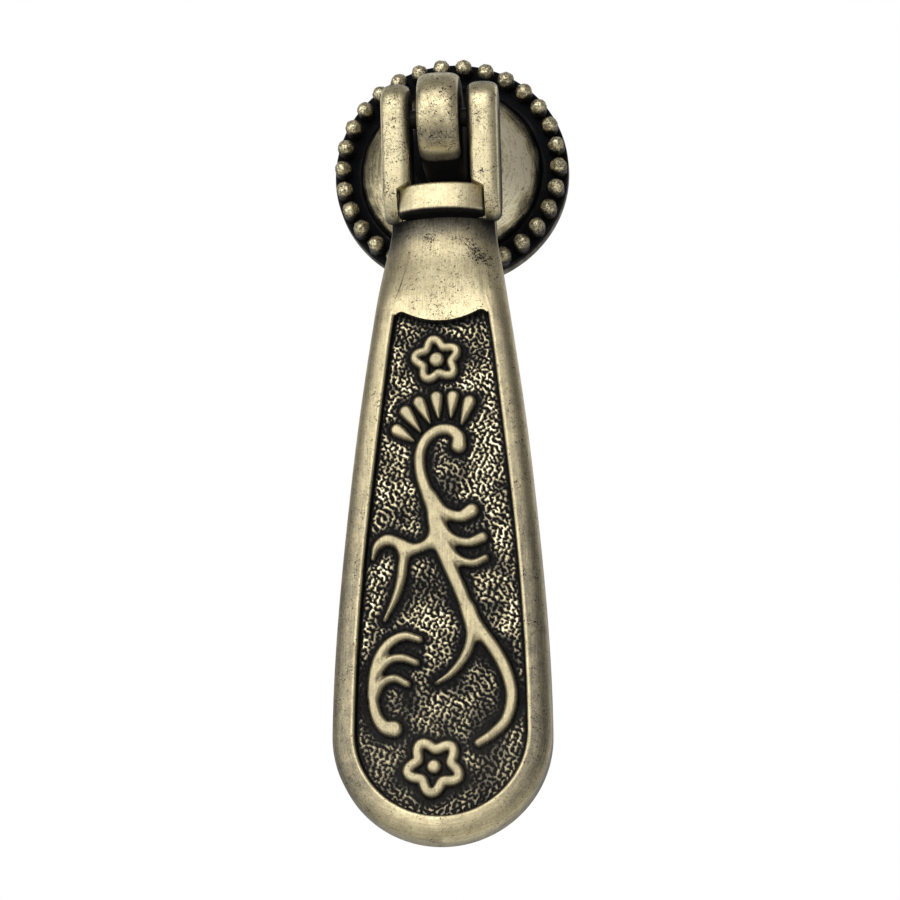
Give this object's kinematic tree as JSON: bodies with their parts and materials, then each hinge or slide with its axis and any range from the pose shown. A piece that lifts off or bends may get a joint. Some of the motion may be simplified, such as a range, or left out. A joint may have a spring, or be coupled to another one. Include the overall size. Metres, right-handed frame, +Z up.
{
  "type": "cabinet drop pull handle",
  "caption": "Drop pull for a cabinet door: a long carved pendant with a forked top hangs from a pin through the eye of a post on a round beaded rosette.",
  "frame": {"origin": "centre of the rosette's back face, where it meets the door", "axes": "+Z up along the hanging handle, +X to the right seen from the front, -Y forward out of the door, so +Y points into the door along the screw"},
  "size_m": [0.026, 0.0194, 0.0902],
  "materials": {
    "rosette_brass": "antique brass plate, brushed, black in the hollows",
    "post_brass": "antique brass plate, rubbed bright on its round front",
    "pin_steel": "drawn steel pin, darkened",
    "pendant_brass": "antique brass plate, high spots rubbed bright, panel blackened"
  },
  "bodies": {
    "base": {"backplate": "rosette_brass", "hinge_post": "post_brass"},
    "pendant": {"pendant": "pendant_brass", "hinge_pin": "pin_steel"}
  },
  "joints": [
    {"name": "pendant_swing", "type": "hinge", "parent": "base", "child": "pendant", "pos_m": [0, -0.0145, 0.001], "axis": [-1, 0, 0], "range_deg": [-10, 180]}
  ]
}
